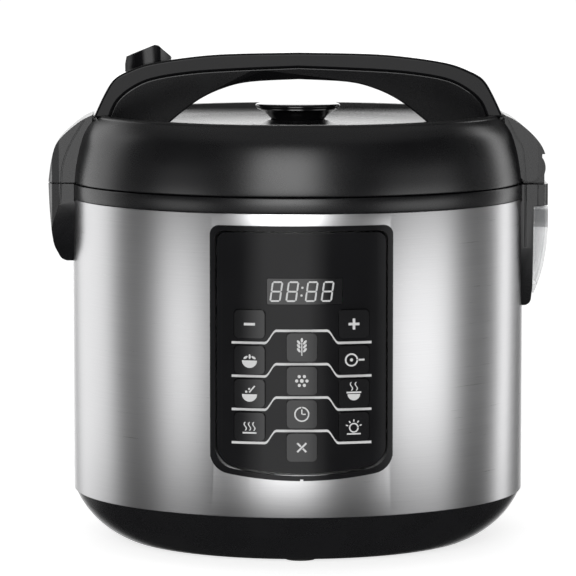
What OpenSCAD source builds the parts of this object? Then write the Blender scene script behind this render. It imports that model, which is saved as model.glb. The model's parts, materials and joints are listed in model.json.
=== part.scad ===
// Electric rice cooker: a steel-clad round body with a front key panel, a hinged domed lid
// with a carrying handle, and a clear condensation cup beside the hinge.
// Millimetres. +Z is up, the key panel faces -Y, and the origin is on the table under the axis.

/* [Body] */
// Outer radius of the steel sleeve
body_r = 115; // [112:0.5:118]
// Height of the seam between the plastic base and the sleeve
base_top = 25.9; // [22:0.1:28]
// Radius of the flat underside of the base
base_bottom_r = 90; // [84:1:94]
// How far the base's flank bulges from a straight cone
base_bulge = 3.3; // [1:0.1:6]
// Height of the top edge of the steel sleeve
sleeve_top = 175.2; // [172:0.2:177]
// Height of the top of the black rim collar
collar_top = 183; // [182:0.2:183.2]
// Thickness of the plastic walls
wall = 2.6; // [2:0.1:3]
// Thickness of the sheet steel
sheet = 0.8; // [0.5:0.1:1]
// Height of the rubber feet below the base
foot_h = 1.6; // [1:0.1:2]

/* [Cooking pot] */
// Outer radius of the pot
pot_r = 96; // [90:1:96]
// Height of the pot's underside
pot_bottom = 38; // [36:0.5:40]
// Wall thickness of the pot
pot_wall = 1.8; // [1:0.1:2.5]
// Radius of the pot's bottom corner
pot_corner = 18; // [10:1:24]

/* [Lid] */
// Height of the lid's lower edge
lid_bottom = 183.6; // [183.5:0.1:184]
// Height of the shoulder ring around the lid's top
shoulder_z = 217.8; // [216:0.2:219]
// Depth of the dish inside the shoulder ring
dish_depth = 5.6; // [4:0.2:7]

/* [Steam vent] */
// Radius of the vent cap's disc
vent_r = 21.6; // [18:0.2:22]
// Height of the vent cap's top above the shoulder ring
vent_rise = 5.8; // [4:0.2:6.5]

/* [Handle] */
// Height of the handle's crown
handle_top_z = 249.7; // [248:0.2:250]
// Width of the handle across its top band
handle_w = 48; // [40:1:52]
// Travel of the release button
button_travel = 2.6; // [2:0.1:3]

/* [Side brackets] */
// Distance from the axis to the outermost face of both side brackets
bracket_out = 127.2; // [126.5:0.1:128]
// Height of the hinge axis
hinge_z = 190.4; // [190:0.1:190.8]
// Distance from the axis to the hinge axis
hinge_x = 117.5; // [117:0.1:118]

/* [Key panel] */
// Half width of the panel bezel
panel_hw = 44.8; // [44:0.2:46]
// Height of the panel's top edge
panel_top = 169.5; // [168:0.5:171]
// Height of the lowest point of the panel's curved bottom edge
panel_bottom = 44.5; // [43:0.5:46]
// Width of one key
key_w = 14.8; // [14:0.1:15]
// Height of one key
key_h = 13.9; // [13:0.1:14]
// Vertical spacing of the keys
key_pitch = 16.4; // [16.2:0.1:17]
// Horizontal spacing of the key columns
key_gap_x = 25.5; // [24.5:0.1:26]
// Travel of one key
key_travel = 0.8; // [0.5:0.1:0.9]

/* [Hidden] */
$fn = 96;
eps = 0.01;
big = 300;

// Body stack
liner_r = 101;
liner_bottom = 22;
plate_r = 82;
shelf_z = 179.2;
flange_z = 179.6;
flange_t = 1.2;
floor_z = foot_h + wall;

// Lid
dish_z = shoulder_z - dish_depth;
vent_top = shoulder_z + vent_rise;

// Key panel radii, measured from the body's axis
fascia_in = 112.6;
fascia_out = body_r + 0.4;
bezel_out = body_r + 1.4;
key_face = body_r + 2;
back_y = key_face;
board_y = -104.9;
board_t = 1.6;
switch_h = 1.2;
strip_y = -101.5;
key_top_row = 121.5;
key_mid_row = 110.3;
display_z = 137.5;
line_low_z = 111.6;
line_rise = 6.1;
row_drop = 1.2;
window_x = 1.4;

// Hinge and latch
knuckle_r = 8.7;
knuckle_hw = 13;
cheek_r = 6.4;
pin_r = 2;
pin_bore_r = pin_r + 0.05;
latch_pivot = [-118.6, 199];
latch_pin_r = 1.5;
button_x = -76.4;
button_low = 238;
pocket_z = button_low - button_travel - 1.4;
cover_in = 104.6;
latch_hw = 19;
hinge_hw = 22;
groove_w = 0.7;
groove_depth = 0.6;

// ---------- Shared outlines and helpers ----------

// Points on a circle arc
function arc(c, r, a0, a1, n = 8) =
    [for (i = [0:n]) let (a = a0 + (a1 - a0) * i / n) c + r * [cos(a), sin(a)]];

// Points on the arc from p to q that bulges by s to the right of the way from p to q
function bulge(p, q, s, n = 10) =
    let (d = q - p, half = norm(d) / 2, r = (half * half + s * s) / (2 * s),
         right = [d.y, -d.x] / norm(d), c = (p + q) / 2 - right * (r - s),
         a0 = atan2(p.y - c.y, p.x - c.x), turn = 2 * asin(half / r))
    arc(c, r, a0, a0 + turn, n);

// One point of a smooth curve through four neighbours
function spline_at(a, b, c, d, t) =
    0.5 * (2 * b + (c - a) * t + (2 * a - 5 * b + 4 * c - d) * t * t
           + (3 * b - a - 3 * c + d) * t * t * t);

// A smooth curve through all the given points
function smooth(p, n = 4) =
    let (last = len(p) - 1)
    concat([for (i = [0:last - 1], k = [0:n - 1])
        spline_at(p[max(i - 1, 0)], p[i], p[i + 1], p[min(i + 2, last)], k / n)], [p[last]]);

function mirror_x(p) = [for (i = [len(p) - 1:-1:0]) [-p[i].x, p[i].y]];
function flip(p) = [for (i = [len(p) - 1:-1:0]) p[i]];

// A flat shape in the XZ plane, extruded from y0 to y1
module along_y(y0, y1) {
    translate([0, y1, 0]) rotate([90, 0, 0]) linear_extrude(y1 - y0) children();
}

// A flat shape in the YZ plane, extruded from x0 to x1
module along_x(x0, x1) {
    translate([x0, 0, 0]) rotate([90, 0, 90]) linear_extrude(x1 - x0) children();
}

module rod_y(r, y0, y1, fn = 48) {
    along_y(y0, y1) circle(r, $fn = fn);
}

module tube(r_in, r_out, z0, z1) {
    translate([0, 0, z0]) difference() {
        cylinder(r = r_out, h = z1 - z0);
        translate([0, 0, -1]) cylinder(r = r_in, h = z1 - z0 + 2);
    }
}

module round_rect(w, h, r) {
    square([w - 2 * r, h], center = true);
    square([w, h - 2 * r], center = true);
    for (x = [-1, 1], y = [-1, 1]) translate([x * (w / 2 - r), y * (h / 2 - r)]) circle(r, $fn = 32);
}

// A curved plate that follows the body between two radii, cut to a flat shape seen from the front
module curved_plate(r_in, r_out, z0, z1) {
    intersection() {
        tube(r_in, r_out, z0, z1);
        along_y(-body_r - 20, -60) children();
    }
}

// A helical spring standing on z = 0
module coil(r, wire, height, turns) {
    steps = turns * 14;
    sides = 6;
    points = [for (i = [0:steps], k = [0:sides - 1])
        let (a = 360 * turns * i / steps, b = 360 * k / sides, q = r + wire * cos(b))
        [q * cos(a), q * sin(a), wire + (height - 2 * wire) * i / steps + wire * sin(b)]];
    rings = [for (i = [0:steps - 1], k = [0:sides - 1]) let (n = (k + 1) % sides)
        [i * sides + k, (i + 1) * sides + k, (i + 1) * sides + n, i * sides + n]];
    polyhedron(points, concat([[for (k = [0:sides - 1]) k]], rings,
        [[for (k = [sides - 1:-1:0]) steps * sides + k]]));
}

// A countersunk-style screw with its head up and its shank down
module screw(r, length) {
    cylinder(r = r, h = length - 1.6 + eps, $fn = 24);
    translate([0, 0, length - 1.6]) difference() {
        cylinder(r = 2 * r, h = 1.6, $fn = 32);
        translate([0, 0, 0.7]) for (a = [0, 90]) rotate(a) cube([2.4 * r, 0.7, 2], center = true);
    }
}

// ---------- Outlines ----------

base_arc = flip(bulge([base_bottom_r, foot_h], [body_r - 0.6, base_top], base_bulge));

// Outer flank of the lid from its lower edge to the shoulder, as radius and height
lid_flank = smooth([[115.2, lid_bottom], [114.6, 190], [112.8, 200], [110.2, 208.4],
    [107, 213.6], [104.2, shoulder_z - 1.2]]);
lid_profile = concat(lid_flank, arc([102.2, shoulder_z - 2], 2, 20, 100, 5),
    smooth([[98, shoulder_z - 0.1], [92, shoulder_z - 2.6], [80, dish_z + 0.8], [56, dish_z]], 3));

// Upper line of the handle, its crease and its underside, right half, as x and z
handle_outer = smooth([[0, handle_top_z], [35, handle_top_z - 0.7], [55, handle_top_z - 2.3],
    [75, handle_top_z - 5.4], [86, handle_top_z - 9.2], [93.4, handle_top_z - 13.6],
    [98.2, handle_top_z - 21], [103.8, shoulder_z - 1]]);
handle_crease = smooth([[0, handle_top_z - 7.6], [30, handle_top_z - 8.8],
    [54, handle_top_z - 10.4], [73.8, handle_top_z - 13.6], [84.8, handle_top_z - 18.6],
    [92, handle_top_z - 25], [95.6, shoulder_z - 1]]);
handle_under = smooth([[0, handle_top_z - 13.7], [24.3, handle_top_z - 15],
    [38, handle_top_z - 18.2], [51, handle_top_z - 24.4], [64.5, dish_z + 2.6], [69, dish_z - 2]]);

// Outer face of the two brackets above and below the lid seam, as distance and height
cover_face = smooth([[bracket_out, lid_bottom], [bracket_out - 1.4, 193.5],
    [bracket_out - 4, 202.8], [bracket_out - 9.2, 208.9], [bracket_out - 16.9, 215.1],
    [bracket_out - 22.4, shoulder_z]]);
latch_face = smooth([[bracket_out, collar_top], [bracket_out - 0.7, 169],
    [bracket_out - 2.4, 153.5], [bracket_out - 4.7, 147.3], [bracket_out - 6.6, 144.2],
    [bracket_out - 9.2, 143]]);

// The panel's outline, grown or shrunk by g: straight sides, a curved foot and rounded corners
module panel_outline(g = 0) {
    hw = panel_hw + g;
    top = panel_top + g;
    low = panel_bottom - g;
    side_z = low + 11;
    r = 4.5;
    intersection() {
        union() {
            translate([-hw, side_z]) square([2 * hw, top - r - side_z]);
            translate([-hw + r, side_z]) square([2 * hw - 2 * r, top - side_z]);
            for (x = [-1, 1]) translate([x * (hw - r), top - r]) circle(r, $fn = 32);
            polygon(concat(
                bulge([-hw, side_z + 1], [-hw + 9, low + 3], 2.2, 6),
                bulge([-hw + 9, low + 3], [hw - 9, low + 3], 3, 16),
                bulge([hw - 9, low + 3], [hw, side_z + 1], 2.2, 6)));
        }
        translate([-hw, low]) square([2 * hw, top - low]);
    }
}

// Height of one row in the outer columns, whose lower rows leave room for the divider lines
function side_row(i) = key_top_row - i * key_pitch - (i > 0 ? row_drop : 0);

module key_places() {
    for (x = [-1, 1], i = [0:3]) translate([x * key_gap_x, side_row(i)]) children();
    for (i = [0:3]) translate([0, key_mid_row - i * key_pitch]) children();
}

// ---------- Body ----------

module base_housing() {
    color("#202124") difference() {
        union() {
            rotate_extrude() polygon(concat(
                [[0, foot_h]], flip(base_arc), [[body_r - 1.4, base_top], [body_r - 1.4, base_top + 5],
                [body_r - 3.6, base_top + 5], [body_r - 3.6, base_top - 2]],
                [[103, 16], [96, 7.6], [90, floor_z], [0, floor_z]]));
            for (a = [45:90:315]) rotate(a) translate([70, 0, floor_z - eps]) cylinder(r = 4.5, h = 12);
            for (x = [-38, 38], y = [-22, 22]) translate([x, y, floor_z - eps]) cylinder(r = 3, h = 3.4);
        }
        for (a = [45:90:315]) rotate(a) translate([70, 0, 0]) {
            cylinder(r = 1.7, h = 30, $fn = 24);
            cylinder(r = 4, h = foot_h + 1.7, $fn = 32);
        }
        for (i = [-4:4]) translate([i * 7 - 1.25, -52, 0]) cube([2.5, 22, floor_z + 1]);
        translate([-17.2, 60, floor_z]) cube([34.4, 60, 17.4]);
    }
}

module foot_pads() {
    color("#17181a") for (a = [0:90:270]) rotate(a) translate([78, 0, 0]) {
        cylinder(r = 8, h = foot_h);
    }
}

module base_screws() {
    color("silver") for (a = [45:90:315]) rotate(a) translate([70, 0, foot_h + 9.1]) mirror([0, 0, 1])
        screw(1.6, 9);
}

module outer_shell() {
    color("#c8c9cc") difference() {
        tube(body_r - sheet, body_r, base_top, sleeve_top);
        along_y(-body_r - 10, -60) panel_outline(-2.6);
    }
}

module rim_collar() {
    color("#1b1c1e") rotate_extrude($fn = 128) polygon([
        [liner_r + 3.4, collar_top], [body_r + 0.5, collar_top], [body_r + 0.5, sleeve_top],
        [body_r - 1, sleeve_top], [body_r - 1, sleeve_top - 6], [body_r - 3, sleeve_top - 6],
        [body_r - 3, sleeve_top], [liner_r + 0.8, shelf_z - 3], [liner_r + 0.8, shelf_z - 0.8],
        [liner_r + 3.4, shelf_z - 0.8]]);
}

module inner_liner() {
    color("#b9bbbf") difference() {
        rotate_extrude() polygon([[26, liner_bottom], [liner_r - 6, liner_bottom],
            [liner_r, liner_bottom + 6], [liner_r, shelf_z - 0.8], [liner_r + 3.2, shelf_z - 0.8],
            [liner_r + 3.2, shelf_z], [liner_r - sheet, shelf_z], [liner_r - sheet, liner_bottom + 6.3],
            [liner_r - 6.3, liner_bottom + sheet], [26, liner_bottom + sheet]]);
        for (a = [20, 340]) rotate(a) translate([61, 0, 0]) cylinder(r = 4, h = 30, $fn = 32);
    }
}

module inner_pot() {
    color("#3a3b3e") rotate_extrude() polygon(concat(
        [[0, pot_bottom]], arc([pot_r - pot_corner, pot_bottom + pot_corner], pot_corner, -90, 0),
        [[pot_r, flange_z], [pot_r + 7.4, flange_z], [pot_r + 7.4, flange_z + flange_t],
        [pot_r - pot_wall + 1.2, flange_z + flange_t], [pot_r - pot_wall, flange_z - 1]],
        flip(arc([pot_r - pot_corner, pot_bottom + pot_corner], pot_corner - pot_wall, -90, 0)),
        [[0, pot_bottom + pot_wall]]));
}

module heating_plate() {
    color("#a9abad") difference() {
        union() {
            rotate_extrude() polygon([[22, 30], [plate_r, 30], [plate_r + 2, 32],
                [plate_r - 4, pot_bottom], [22, pot_bottom]]);
            for (a = [60:120:300]) rotate(a) translate([52, 0, liner_bottom + sheet])
                cylinder(r = 5, h = 7.3);
        }
        for (a = [60:120:300]) rotate(a) translate([52, 0, 0]) cylinder(r = 1.6, h = 34, $fn = 24);
    }
}

module heating_element() {
    color("#8d8f92") {
        rotate([0, 0, 20]) rotate_extrude(angle = 320) translate([61, 26.6]) circle(3.3, $fn = 32);
        for (a = [20, 340]) rotate(a) translate([61, 0, 16]) cylinder(r = 2, h = 10, $fn = 32);
    }
}

module sensor_holder() {
    color("#c2b280") difference() {
        union() {
            translate([0, 0, 10]) cylinder(r = 17, h = 2);
            translate([0, 0, 10]) cylinder(r = 15.4, h = 18);
        }
        translate([0, 0, 12]) cylinder(r = 14, h = 30);
        translate([0, 0, 5]) cylinder(r = 3, h = 10, $fn = 32);
    }
}

module sensor_cap() {
    color("#d0d2d4") {
        rotate_extrude() polygon([[0, 30], [11, 30], [11, 20], [12, 20], [12, pot_bottom - 1.2],
            [11, pot_bottom - 0.1], [0, pot_bottom - 0.1]]);
        translate([0, 0, 9]) cylinder(r = 2, h = 21.5, $fn = 32);
    }
}

module sensor_spring() {
    color("silver") translate([0, 0, 12.05]) coil(7, 0.5, 17.7, 6);
}

module keep_warm_band() {
    color("#c9a24b") intersection() {
        tube(liner_r + 0.3, liner_r + 1.6, 110, 128);
        translate([-big / 2, -40, 100]) cube([big, big, 40]);
    }
}

module thermal_fuse() {
    color("#dcdcda") translate([-52, 24, 0]) {
        translate([0, 0, 18]) rotate([0, 90, 0]) cylinder(r = 2.4, h = 14, $fn = 32);
        translate([-3, -0.4, 17.6]) cube([3 + eps, 0.8, 0.8]);
        translate([14 - eps, -0.4, 17.6]) cube([3, 0.8, 0.8]);
    }
}

module power_board() {
    color("#2f6b3c") translate([-44, -28, floor_z + 3.4]) difference() {
        cube([88, 56, 1.6]);
        translate([44, 28, -1]) cylinder(r = 4, h = 4);
    }
}

module power_board_parts() {
    top = floor_z + 5;
    color("#3b6ea5") translate([-40, -24, top]) cube([16, 12, 10]);
    color("#c9a227") translate([22, -22, top]) {
        cube([18, 6, 12]);
        translate([-1, -3, 3]) cube([20, 12, 6]);
    }
    color("#30343a") for (x = [-30, -16]) translate([x, 18, top]) cylinder(r = 5, h = 10, $fn = 32);
    color("#e4e4e0") translate([24, 12, top]) cube([14, 10, 8]);
}

module power_inlet() {
    color("#1a1b1d") difference() {
        translate([-17, 96, floor_z + 0.2]) cube([34, back_y - 96, 17]);
        translate([-12, back_y - 18, floor_z + 1.4]) cube([24, 30, 14.6]);
        pin_blades();
    }
}

module pin_blades() {
    for (x = [-7, 0, 7]) translate([x - 1, 94, floor_z + (x == 0 ? 10.6 : 6)])
        cube([2, back_y - 4 - 94, 3.2]);
}

module inlet_pins() {
    color("#d8d9da") pin_blades();
}

// ---------- Key panel ----------

module panel_bezel() {
    color("#17181a") difference() {
        curved_plate(body_r - sheet - 1.2, bezel_out, panel_bottom - 6, panel_top + 2) {
            difference() {
                panel_outline();
                panel_outline(-2.5);
            }
        }
        difference() {
            tube(body_r - sheet - 2, body_r + 0.05, base_top, sleeve_top);
            along_y(-body_r - 10, -60) panel_outline(-2.7);
        }
        translate([-0.8, -bezel_out - 1, panel_bottom - 1]) cube([1.6, 8, 1.8]);
    }
}

module panel_fascia() {
    color("#0c0c0e") difference() {
        curved_plate(fascia_in, fascia_out, panel_bottom - 6, panel_top + 2) panel_outline(-3.5);
        along_y(-body_r - 10, -60) {
            key_places() round_rect(key_w + 0.5, key_h + 0.5, 2.4);
            translate([window_x, display_z]) round_rect(37.1, 13.1, 1);
        }
    }
}

module display_window() {
    color("#2a2b2e") curved_plate(fascia_in + 0.4, fascia_out, 120, 150)
        translate([window_x, display_z]) round_rect(36.7, 12.7, 0.8);
}

module led_display() {
    color("#1d1e20") translate([-19, -110.6, display_z - 7]) cube([38, board_y + 110.6, 14]);
}

module panel_lines() {
    color("#c9cacc") for (row = [0:3]) let (z = line_low_z - row * key_pitch)
        curved_plate(fascia_out, fascia_out + 0.15, z - 4, z + 10)
            polygon(step_line(z, 1.2));
}

// One divider line: low at both ends, stepping up with a soft S to pass over the middle column
function step_z(x) = let (t = min(max((18 - abs(x)) / 5.6, 0), 1)) line_rise * t * t * (3 - 2 * t);
function step_line(z, t) = let (xs = concat([-34.2], [for (x = [-18:0.7:-12.4]) x],
        [for (x = [12.4:0.7:18]) x], [34.2]))
    concat([for (x = xs) [x, z + step_z(x)]], [for (i = [len(xs) - 1:-1:0]) [xs[i], z + step_z(xs[i]) + t]]);

module board_screw_places() {
    for (p = [[-34, 159.4], [34, 159.4], [-27, 60], [27, 60]]) translate(p) children();
}

module control_board() {
    color("#2f6b3c") along_y(board_y, board_y + board_t) difference() {
        polygon([[-28, 55], [28, 55], [36.8, 66], [36.8, 163], [-36.8, 163], [-36.8, 66]]);
        board_screw_places() circle(1.6, $fn = 24);
    }
}

module key_switches() {
    color("#e9e9e6") along_y(board_y - switch_h, board_y) key_places() square([6, 6], center = true);
}

module panel_housing() {
    color("#2a2b2e") difference() {
        union() {
            curved_plate(liner_r + 1.9, fascia_in - 0.1, panel_bottom, panel_top) {
                difference() {
                    panel_outline(-3.6);
                    panel_outline(-5.2);
                }
            }
            along_y(board_y + board_t, strip_y + 1.4) board_screw_places() circle(3, $fn = 24);
            for (s = [0, 1]) mirror([s, 0, 0]) {
                translate([33.8, strip_y, 57]) cube([6.4, 1.4, 106]);
                translate([20, strip_y, 57]) cube([20.2, 1.4, 6.4]);
            }
        }
        along_y(board_y, -90) board_screw_places() circle(1.2, $fn = 24);
    }
}

module board_screws() {
    color("silver") {
        along_y(board_y - 1.4, board_y) board_screw_places() circle(2.4, $fn = 24);
        along_y(board_y - eps, strip_y + 1.4) board_screw_places() circle(1.2, $fn = 24);
    }
}

// One push key: a crowned cap, a wider flange that holds it behind the fascia, and a stem
module panel_key(x, z) {
    color("#222326") {
        curved_plate(fascia_in - 0.5, key_face, z - 10, z + 10)
            translate([x, z]) round_rect(key_w, key_h, 2.2);
        curved_plate(fascia_in - 1.5, fascia_in - 0.3, z - 10, z + 10)
            translate([x, z]) round_rect(key_w + 1.4, key_h + 1.2, 2.4);
        along_y(-sqrt(pow(fascia_in - 1, 2) - x * x), board_y - switch_h - key_travel - 0.1)
            translate([x, z]) circle(1.6, $fn = 24);
    }
}

module key_minus() { panel_key(-key_gap_x, side_row(0)); }
module key_plus() { panel_key(key_gap_x, side_row(0)); }
module key_white_rice() { panel_key(-key_gap_x, side_row(1)); }
module key_saute() { panel_key(key_gap_x, side_row(1)); }
module key_oatmeal() { panel_key(-key_gap_x, side_row(2)); }
module key_soup() { panel_key(key_gap_x, side_row(2)); }
module key_steam() { panel_key(-key_gap_x, side_row(3)); }
module key_warm() { panel_key(key_gap_x, side_row(3)); }
module key_brown_rice() { panel_key(0, key_mid_row); }
module key_quinoa() { panel_key(0, key_mid_row - key_pitch); }
module key_delay() { panel_key(0, key_mid_row - 2 * key_pitch); }
module key_cancel() { panel_key(0, key_mid_row - 3 * key_pitch); }

// ---------- Side brackets on the body ----------

// An upright prism that draws a bracket's outer edges in towards its middle
module bracket_plan(half_w) {
    linear_extrude(big) polygon([[90, -half_w], [bracket_out - 5.5, -half_w],
        [bracket_out - 2, -half_w + 2.5], [bracket_out, -half_w + 7], [bracket_out, half_w - 7],
        [bracket_out - 2, half_w - 2.5], [bracket_out - 5.5, half_w], [90, half_w]]);
}

// A fine groove along a line on both side faces of a bracket
module side_grooves(line, half_w) {
    band = concat(line, [for (i = [len(line) - 1:-1:0]) line[i] + [groove_w, 0]]);
    for (s = [0, 1]) mirror([0, s, 0]) along_y(half_w - groove_depth, half_w + 1) polygon(band);
}

// The space taken by the sleeve and the collar, which both columns are fitted around
module body_core() {
    translate([0, 0, 100]) cylinder(r = body_r, h = sleeve_top - 100, $fn = 128);
    translate([0, 0, sleeve_top - 1])
        cylinder(r = body_r + 0.5, h = collar_top + 1.3 - sleeve_top, $fn = 128);
}

module latch_column() {
    color("#1b1c1e") difference() {
        intersection() {
            along_x(-bracket_out - 1, -100) polygon([[-9, 143], [9, 143], [14, 152], [19, 172],
                [19, collar_top], [-19, collar_top], [-19, 172], [-14, 152]]);
            along_y(-20, 20) polygon(concat(mirror_x(latch_face), [[-100, collar_top], [-100, 143]]));
            mirror([1, 0, 0]) bracket_plan(latch_hw);
        }
        body_core();
        side_grooves([[-120.7, collar_top + 1], [-121.4, 173]], latch_hw);
        translate([-bracket_out + 2.4, -9.5, 170]) cube([bracket_out - 2.4 - 117.2, 19, 20]);
        translate([-117.2 - eps, -8, 178.4]) cube([10, 16, 1.6]);
    }
}

module latch_strike() {
    color("silver") translate([-117, -8, 178.4]) cube([1.4, 16, 1.6]);
}

module hinge_column() {
    color("#1b1c1e") difference() {
        union() {
            intersection() {
                along_x(100, bracket_out) polygon([[-15, 120.3], [15, 120.3], [22, 150], [22, 182.6],
                    [-22, 182.6], [-22, 150]]);
                along_y(-23, 23) polygon(concat([[100, 120.3]], arc([115.2, 123.9], 3.6, -90, -5),
                    [[119.4, 130], [119.4, 171.6], [bracket_out, 171.6], [bracket_out, 182.6],
                    [100, 182.6]]));
                bracket_plan(hinge_hw);
            }
            along_y(-knuckle_hw, knuckle_hw) translate([115.9, 180]) square([9.7, hinge_z - 180]);
            translate([hinge_x, 0, hinge_z]) rod_y(knuckle_r, -knuckle_hw, knuckle_hw);
        }
        body_core();
        translate([hinge_x, 0, hinge_z]) {
            rod_y(pin_r, -30, 30);
            rod_y(5.4, -7, 7);
        }
        side_grooves([[115.1, 183.6], [115.1, 151]], hinge_hw);
    }
}

module hinge_pin() {
    color("silver") translate([hinge_x, 0, hinge_z]) rod_y(pin_r, -21.4, 21.4);
}

module hinge_spring() {
    color("silver") translate([hinge_x, 6.4, hinge_z]) rotate([90, 0, 0]) coil(3.6, 0.6, 12.8, 8);
}

module condensation_cup() {
    color("#dfe3e6", 0.5) difference() {
        along_y(-16.5, 16.5) polygon([[119.7, 171.2], [bracket_out, 171.2], [bracket_out, 159.7],
            [126.4, 150.4], [124.9, 141.2], [123.2, 135], [120.9, 128.9], [119.7, 126.2]]);
        along_y(-15.3, 15.3) polygon([[120.9, 172], [126, 172], [126, 159.8], [125.2, 150.6],
            [123.7, 141.6], [122, 135.4], [120.9, 132]]);
    }
}

// ---------- Lid ----------

module lid_solid() {
    rotate_extrude($fn = 128) polygon(concat([[0, lid_bottom]], lid_profile, [[0, dish_z]]));
}

// Room around the hinge knuckle, which the lid turns about
module knuckle_room() {
    translate([hinge_x, 0, hinge_z]) rod_y(knuckle_r + 0.5, -knuckle_hw - 0.4, knuckle_hw + 0.4);
}

module handle_screw_places() {
    for (x = [-84, 84], y = [-13, 13]) translate([x, y, 0]) children();
}

module lid_shell() {
    color("#141517") difference() {
        union() {
            difference() {
                lid_solid();
                rotate_extrude($fn = 128) polygon(concat([[0, lid_bottom - 2]],
                    smooth([[112.5, lid_bottom - 2], [111.8, 190], [110, 200], [107, 208], [102, 213]]),
                    [[98, 214.4], [90, 211.8], [78, dish_z - wall], [0, dish_z - wall]]));
            }
            handle_screw_places() translate([0, 0, 203]) cylinder(r = 4.2, h = 9, $fn = 32);
        }
        translate([0, 0, 200]) cylinder(r = 16.1, h = 30);
        handle_screw_places() translate([0, 0, 190]) cylinder(r = 1.7, h = 40, $fn = 24);
        translate([-80, -4, 200]) cube([6.2, 8, 30]);
        translate([-119, -9.5, 194]) cube([13, 19, 12.6]);
        knuckle_room();
    }
}

module lid_liner() {
    color("#26272a") difference() {
        rotate_extrude() polygon([[16.4, 184.1], [108, 184.1], [110.8, 185.4], [110.8, 187.4],
            [107, 186.6], [24, 186.6], [19, 192], [16.4, 192]]);
        knuckle_room();
    }
}

module inner_lid_plate() {
    color("#b4b6b9") difference() {
        rotate_extrude() polygon([[8, 182.3], [90, 182.3], [94, 183], [94, 184], [90, 183.3], [8, 183.3]]);
        for (a = [0:30:330]) rotate(a) translate([56, 0, 180]) cylinder(r = 2, h = 6, $fn = 24);
    }
}

module lid_gasket() {
    color("#5b5d60") rotate_extrude() polygon([[97.6, 181.1], [103.4, 181.1], [103.4, 182.3],
        [101, 184.05], [95.2, 184.05], [95.2, 182.6], [97, 182.6]]);
}

module vent_seat() {
    color("#1b1c1e") rotate_extrude() polygon([[14, 183.8], [16, 183.8], [16, dish_z + 0.05],
        [23, dish_z + 0.05], [23, dish_z + 0.2], [19.5, dish_z + 0.6], [16.8, dish_z + 1.4],
        [15.2, dish_z + 2.4], [14, dish_z + 2.4]]);
}

module vent_cap() {
    color("#232427") difference() {
        rotate_extrude() polygon([[0, vent_top], [10, vent_top - 0.1], [vent_r - 1.4, vent_top - 0.6],
            [vent_r, vent_top - 1.8], [vent_r, vent_top - 3], [vent_r - 4, vent_top - 5],
            [vent_r - 7.4, vent_top - 8], [vent_r - 9, dish_z + 1.1], [11, dish_z + 1.1], [11, 196],
            [9.4, 196], [9.4, vent_top - 2.6], [0, vent_top - 2.2]]);
        for (x = [-5.7, 0, 5.7]) translate([x, 0, 215]) cylinder(r = 1.3, h = 12, $fn = 24);
    }
}

module latch_cover() {
    px = latch_pivot.x;
    pz = latch_pivot.y;
    color("#1b1c1e") difference() {
        intersection() {
            along_y(-latch_hw, latch_hw) polygon(concat(mirror_x(cover_face),
                [[-cover_in, lid_bottom], [-cover_in, shoulder_z]]));
            mirror([1, 0, 0]) bracket_plan(latch_hw);
        }
        lid_solid();
        side_grooves(smooth([[-109.2, 215], [-116.1, 203.3], [-120, 192.5], [-120.7, lid_bottom - 1]]),
            latch_hw);
        along_y(-9.5, 9.5) polygon([[-bracket_out + 2.4, 180], [-bracket_out + 2.4, 191],
            [-122.2, 200], [-118.6, 205], [-105, 206.6], [-105, 180]]);
        translate([px, 0, pz]) rod_y(latch_pin_r, -12, 12);
    }
}

module latch_pin() {
    color("silver") translate([latch_pivot.x, 0, latch_pivot.y]) rod_y(latch_pin_r, -12, 12);
}

// The latch lever: an arm that the button pushes down, and a leg whose nose reaches below the seam
module latch_hook() {
    px = latch_pivot.x;
    pz = latch_pivot.y;
    color("#8f9194") difference() {
        union() {
            translate([px, 0, pz]) rod_y(3, -6.5, 6.5);
            along_y(-6, 6) polygon([[px - 1.6, pz], [px - 1.6, 173.5], [px + 0.2, 173.5],
                [px + 1.2, 177.8], [px + 0.2, 177.8], [px + 0.2, pz]]);
            along_y(-5, 5) translate([px, pz - 1.4]) square([hook_arm + 1, 2.8]);
        }
        translate([px, 0, pz]) rod_y(latch_pin_r + 0.05, -10, 10);
    }
}

module hinge_cover() {
    color("#1b1c1e") difference() {
        intersection() {
            bracket_plan(hinge_hw - 0.2);
            hinge_cover_body();
        }
        lid_solid();
        knuckle_room();
        translate([hinge_x, 0, hinge_z]) rod_y(pin_bore_r, -21.45, 21.45);
        side_grooves(smooth([[105.4, 216], [110.6, 206], [113.6, 200.2], [115.1, lid_bottom - 1]]),
            hinge_hw - 0.2);
    }
}

module hinge_cover_body() {
    along_y(-21.8, 21.8) polygon(concat(smooth([[hinge_x + 8.1, hinge_z + 7.5],
        [bracket_out - 4, 202.8], [bracket_out - 9.2, 208.9], [bracket_out - 16.9, 215.1],
        [bracket_out - 22.4, shoulder_z]]), [[cover_in, shoulder_z], [cover_in, hinge_z + 7.5]]));
    for (s = [-1, 1]) {
        y0 = s > 0 ? knuckle_hw + 0.4 : -21.8;
        translate([hinge_x, 0, hinge_z]) rod_y(cheek_r, y0, y0 + 21.4 - knuckle_hw);
        along_y(y0, y0 + 21.4 - knuckle_hw) translate([108, hinge_z])
            square([hinge_x + cheek_r - 108, 8]);
    }
}

// ---------- Handle ----------

module button_pocket() {
    translate([button_x - 11.9, -9.3, pocket_z]) cube([23.8, 18.6, 40]);
}

module handle_top() {
    color("#1a1b1d") difference() {
        along_y(-handle_w / 2, handle_w / 2) polygon(concat(mirror_x(handle_outer), handle_outer,
            flip(handle_crease), flip(mirror_x(handle_crease))));
        lid_solid();
        button_pocket();
    }
}

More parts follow.
